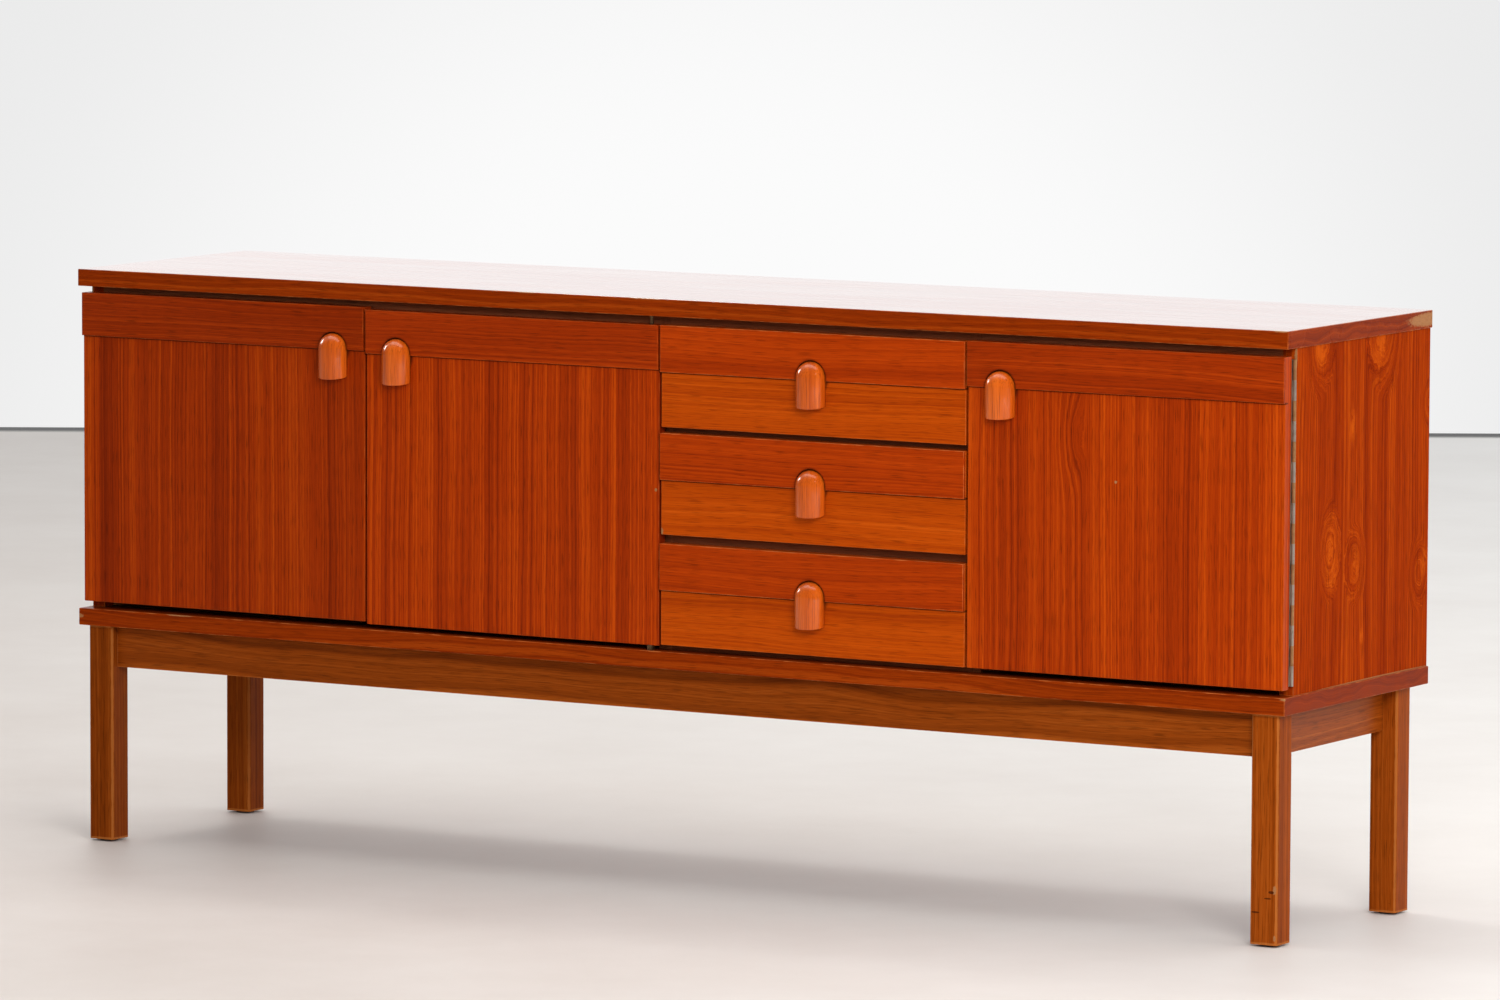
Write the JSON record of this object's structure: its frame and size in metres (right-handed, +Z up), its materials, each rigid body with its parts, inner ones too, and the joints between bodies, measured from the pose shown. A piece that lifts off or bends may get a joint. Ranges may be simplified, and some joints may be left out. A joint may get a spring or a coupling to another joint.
{
  "type": "sideboard buffet",
  "caption": "Long low wooden sideboard on a square-leg frame, with hinged doors, a bank of drawers, shelves and arched pulls.",
  "frame": {"origin": "on the floor under the middle of the bounding box", "axes": "+Z up, +X along the length to the right of someone facing the doors, the doors and drawers face -Y"},
  "size_m": [1.8, 0.41, 0.763],
  "materials": {
    "case_teak": "satin",
    "front_teak": "satin",
    "strip_teak": "satin",
    "pull_teak": "satin",
    "leg_teak": "satin",
    "inner_wood": "matte",
    "drawer_wood": "matte",
    "back_board": "matte",
    "runner_wood": "matte",
    "peg_steel": "satin",
    "hinge_brass": "satin",
    "catch_plastic": "matte",
    "glide_plastic": "matte"
  },
  "bodies": {
    "case": {"top_board": "case_teak", "bottom_board": "case_teak", "side_panel_left": "case_teak", "side_panel_right": "case_teak", "divider_left": "case_teak", "divider_right": "case_teak", "back_panel": "back_board", "shelf_left": "inner_wood", "shelf_right": "inner_wood", "shelf_pegs": "peg_steel", "leg_front_left": "leg_teak", "leg_front_right": "leg_teak", "leg_rear_left": "leg_teak", "leg_rear_right": "leg_teak", "apron_front": "leg_teak", "apron_rear": "leg_teak", "side_aprons": "leg_teak", "corner_blocks": "inner_wood", "foot_glides": "glide_plastic", "hinge_frame_leaves": "hinge_brass", "hinge_pins": "hinge_brass", "case_screws": "hinge_brass", "magnet_catches": "catch_plastic", "pivot_bushes": "hinge_brass", "door_top_rails": "case_teak", "drawer_rails": "case_teak", "drawer_runners": "runner_wood"},
    "door_1": {"door_1_panel": "front_teak", "door_1_strip": "strip_teak", "door_1_pull": "pull_teak", "door_1_fixings": "peg_steel", "door_1_hinge_leaf": "hinge_brass"},
    "door_2": {"door_2_panel": "front_teak", "door_2_strip": "strip_teak", "door_2_pull": "pull_teak", "door_2_fixings": "peg_steel", "door_2_pivot_pins": "hinge_brass"},
    "door_3": {"door_3_panel": "front_teak", "door_3_strip": "strip_teak", "door_3_pull": "pull_teak", "door_3_fixings": "peg_steel", "door_3_hinge_leaf": "hinge_brass"},
    "drawer_1": {"drawer_1_front": "front_teak", "drawer_1_strip": "strip_teak", "drawer_1_pull": "pull_teak", "drawer_1_sides": "drawer_wood", "drawer_1_back": "drawer_wood", "drawer_1_bottom": "back_board"},
    "drawer_2": {"drawer_2_front": "front_teak", "drawer_2_strip": "strip_teak", "drawer_2_pull": "pull_teak", "drawer_2_sides": "drawer_wood", "drawer_2_back": "drawer_wood", "drawer_2_bottom": "back_board"},
    "drawer_3": {"drawer_3_front": "front_teak", "drawer_3_strip": "strip_teak", "drawer_3_pull": "pull_teak", "drawer_3_sides": "drawer_wood", "drawer_3_back": "drawer_wood", "drawer_3_bottom": "back_board"}
  },
  "joints": [
    {"name": "door_1_hinge", "type": "hinge", "parent": "case", "child": "door_1", "pos_m": [-0.8966, -0.16575, 0.525], "axis": [0, 0, -1], "range_deg": [0, 170]},
    {"name": "door_2_pivot", "type": "hinge", "parent": "case", "child": "door_2", "pos_m": [-0.01565, -0.181, 0.525], "axis": [0, 0, 1], "range_deg": [0, 90]},
    {"name": "door_3_hinge", "type": "hinge", "parent": "case", "child": "door_3", "pos_m": [0.8966, -0.16575, 0.525], "axis": [0, 0, 1], "range_deg": [0, 170]},
    {"name": "drawer_1_slide", "type": "slide", "parent": "case", "child": "drawer_1", "axis": [0, -1, 0], "range_m": [0, 0.3]},
    {"name": "drawer_2_slide", "type": "slide", "parent": "case", "child": "drawer_2", "axis": [0, -1, 0], "range_m": [0, 0.3]},
    {"name": "drawer_3_slide", "type": "slide", "parent": "case", "child": "drawer_3", "axis": [0, -1, 0], "range_m": [0, 0.3]}
  ]
}
